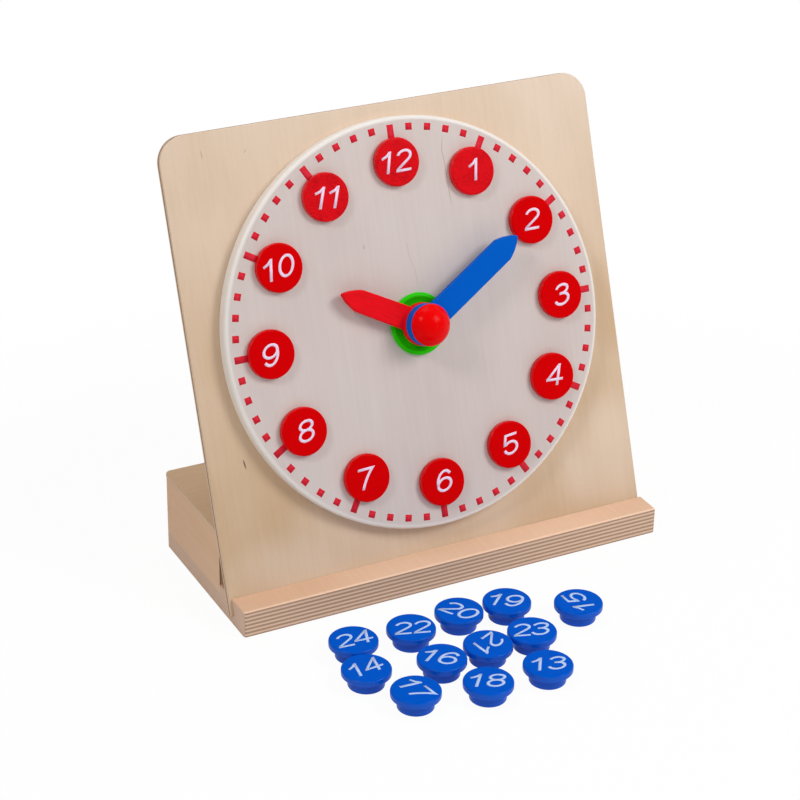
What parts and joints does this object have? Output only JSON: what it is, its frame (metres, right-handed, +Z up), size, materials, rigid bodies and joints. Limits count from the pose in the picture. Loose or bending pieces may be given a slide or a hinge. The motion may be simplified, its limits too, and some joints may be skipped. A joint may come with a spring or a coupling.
{
  "type": "geared teaching clock",
  "caption": "Leaning plywood panel on a thick base with a storage box behind; a round dial carries plug-in hour discs and two hands geared together, with loose discs in front.",
  "frame": {"origin": "middle of the base board's underside", "axes": "+Z up, +X to the viewer's right along the panel, +Y away from the viewer towards the storage box"},
  "size_m": [0.3039, 0.2636, 0.2897],
  "materials": {
    "base_ply": "thick birch plywood, clear matt lacquer",
    "panel_ply": "thin birch plywood, clear matt lacquer",
    "box_ply": "birch plywood, clear matt lacquer",
    "lid_ply": "thin birch plywood",
    "dial_white": "white painted fibreboard, satin",
    "red_plastic": "moulded red plastic",
    "blue_plastic": "moulded blue plastic",
    "green_plastic": "moulded green plastic",
    "gear_plastic": "natural white engineering plastic",
    "washer_plastic": "natural white plastic",
    "steel": "plain ground steel",
    "zinc_steel": "zinc plated steel",
    "cover_plastic": "moulded ivory plastic, fine texture"
  },
  "bodies": {
    "stand": {"base_board": "base_ply", "face_panel": "panel_ply", "box_wall_left": "box_ply", "box_wall_right": "box_ply", "box_wall_front": "box_ply", "box_wall_back": "box_ply", "dial": "dial_white", "dial_screws": "zinc_steel", "centre_collar": "green_plastic", "collar_nut": "green_plastic", "hour_washer": "washer_plastic", "idler_axle": "steel", "front_plate": "zinc_steel", "rear_plate": "zinc_steel", "plate_pillars": "zinc_steel", "plate_screws": "zinc_steel", "gear_cover": "cover_plastic", "cover_screws": "zinc_steel"},
    "minute_works": {"minute_shaft": "steel", "minute_pinion": "gear_plastic", "minute_hand": "blue_plastic", "knob": "red_plastic"},
    "hour_works": {"hour_tube": "gear_plastic", "hour_wheel": "gear_plastic", "hour_hand": "red_plastic"},
    "idler": {"idler_gear": "gear_plastic"},
    "lid": {"lid": "lid_ply", "lid_battens": "box_ply"},
    "red_disc_01": {"red_disc_01": "red_plastic"},
    "red_disc_02": {"red_disc_02": "red_plastic"},
    "red_disc_03": {"red_disc_03": "red_plastic"},
    "red_disc_04": {"red_disc_04": "red_plastic"},
    "red_disc_05": {"red_disc_05": "red_plastic"},
    "red_disc_06": {"red_disc_06": "red_plastic"},
    "red_disc_07": {"red_disc_07": "red_plastic"},
    "red_disc_08": {"red_disc_08": "red_plastic"},
    "red_disc_09": {"red_disc_09": "red_plastic"},
    "red_disc_10": {"red_disc_10": "red_plastic"},
    "red_disc_11": {"red_disc_11": "red_plastic"},
    "red_disc_12": {"red_disc_12": "red_plastic"},
    "blue_disc_13": {"blue_disc_13": "blue_plastic"},
    "blue_disc_14": {"blue_disc_14": "blue_plastic"},
    "blue_disc_15": {"blue_disc_15": "blue_plastic"},
    "blue_disc_16": {"blue_disc_16": "blue_plastic"},
    "blue_disc_17": {"blue_disc_17": "blue_plastic"},
    "blue_disc_18": {"blue_disc_18": "blue_plastic"},
    "blue_disc_19": {"blue_disc_19": "blue_plastic"},
    "blue_disc_20": {"blue_disc_20": "blue_plastic"},
    "blue_disc_21": {"blue_disc_21": "blue_plastic"},
    "blue_disc_22": {"blue_disc_22": "blue_plastic"},
    "blue_disc_23": {"blue_disc_23": "blue_plastic"},
    "blue_disc_24": {"blue_disc_24": "blue_plastic"}
  },
  "joints": [
    {"name": "minute_turn", "type": "hinge", "parent": "stand", "child": "minute_works", "pos_m": [-0.0007, -0.00154, 0.16023], "axis": [0, 0.9397, -0.342], "continuous": true},
    {"name": "hour_turn", "type": "hinge", "parent": "stand", "child": "hour_works", "pos_m": [-0.0007, -0.00154, 0.16023], "axis": [0, 0.9397, -0.342], "continuous": true},
    {"name": "idler_turn", "type": "hinge", "parent": "stand", "child": "idler", "pos_m": [-0.0007, -0.0118, 0.13204], "axis": [0, 0.9397, -0.342], "continuous": true},
    {"name": "lid_lift", "type": "slide", "parent": "stand", "child": "lid", "axis": [0, 0.7071, 0.7071], "range_m": [0, 0.045]},
    {"name": "red_disc_01_pull", "type": "slide", "parent": "stand", "child": "red_disc_01", "axis": [0, -0.9397, 0.342], "range_m": [0, 0.04]},
    {"name": "red_disc_02_pull", "type": "slide", "parent": "stand", "child": "red_disc_02", "axis": [0, -0.9397, 0.342], "range_m": [0, 0.04]},
    {"name": "red_disc_03_pull", "type": "slide", "parent": "stand", "child": "red_disc_03", "axis": [0, -0.9397, 0.342], "range_m": [0, 0.04]},
    {"name": "red_disc_04_pull", "type": "slide", "parent": "stand", "child": "red_disc_04", "axis": [0, -0.9397, 0.342], "range_m": [0, 0.04]},
    {"name": "red_disc_05_pull", "type": "slide", "parent": "stand", "child": "red_disc_05", "axis": [0, -0.9397, 0.342], "range_m": [0, 0.04]},
    {"name": "red_disc_06_pull", "type": "slide", "parent": "stand", "child": "red_disc_06", "axis": [0, -0.9397, 0.342], "range_m": [0, 0.04]},
    {"name": "red_disc_07_pull", "type": "slide", "parent": "stand", "child": "red_disc_07", "axis": [0, -0.9397, 0.342], "range_m": [0, 0.04]},
    {"name": "red_disc_08_pull", "type": "slide", "parent": "stand", "child": "red_disc_08", "axis": [0, -0.9397, 0.342], "range_m": [0, 0.04]},
    {"name": "red_disc_09_pull", "type": "slide", "parent": "stand", "child": "red_disc_09", "axis": [0, -0.9397, 0.342], "range_m": [0, 0.04]},
    {"name": "red_disc_10_pull", "type": "slide", "parent": "stand", "child": "red_disc_10", "axis": [0, -0.9397, 0.342], "range_m": [0, 0.04]},
    {"name": "red_disc_11_pull", "type": "slide", "parent": "stand", "child": "red_disc_11", "axis": [0, -0.9397, 0.342], "range_m": [0, 0.04]},
    {"name": "red_disc_12_pull", "type": "slide", "parent": "stand", "child": "red_disc_12", "axis": [0, -0.9397, 0.342], "range_m": [0, 0.04]},
    {"name": "blue_disc_13_lift", "type": "slide", "parent": "stand", "child": "blue_disc_13", "axis": [0, 0, 1], "range_m": [0, 0.06]},
    {"name": "blue_disc_14_lift", "type": "slide", "parent": "stand", "child": "blue_disc_14", "axis": [0, 0, 1], "range_m": [0, 0.06]},
    {"name": "blue_disc_15_lift", "type": "slide", "parent": "stand", "child": "blue_disc_15", "axis": [0, 0, 1], "range_m": [0, 0.06]},
    {"name": "blue_disc_16_lift", "type": "slide", "parent": "stand", "child": "blue_disc_16", "axis": [0, 0, 1], "range_m": [0, 0.06]},
    {"name": "blue_disc_17_lift", "type": "slide", "parent": "stand", "child": "blue_disc_17", "axis": [0, 0, 1], "range_m": [0, 0.06]},
    {"name": "blue_disc_18_lift", "type": "slide", "parent": "stand", "child": "blue_disc_18", "axis": [0, 0, 1], "range_m": [0, 0.06]},
    {"name": "blue_disc_19_lift", "type": "slide", "parent": "stand", "child": "blue_disc_19", "axis": [0, 0, 1], "range_m": [0, 0.06]},
    {"name": "blue_disc_20_lift", "type": "slide", "parent": "stand", "child": "blue_disc_20", "axis": [0, 0, 1], "range_m": [0, 0.06]},
    {"name": "blue_disc_21_lift", "type": "slide", "parent": "stand", "child": "blue_disc_21", "axis": [0, 0, 1], "range_m": [0, 0.06]},
    {"name": "blue_disc_22_lift", "type": "slide", "parent": "stand", "child": "blue_disc_22", "axis": [0, 0, 1], "range_m": [0, 0.06]},
    {"name": "blue_disc_23_lift", "type": "slide", "parent": "stand", "child": "blue_disc_23", "axis": [0, 0, 1], "range_m": [0, 0.06]},
    {"name": "blue_disc_24_lift", "type": "slide", "parent": "stand", "child": "blue_disc_24", "axis": [0, 0, 1], "range_m": [0, 0.06]}
  ],
  "couplings": [
    {"joint": "hour_turn", "follows": "minute_turn", "ratio": 0.083333},
    {"joint": "idler_turn", "follows": "minute_turn", "ratio": -0.33333}
  ]
}
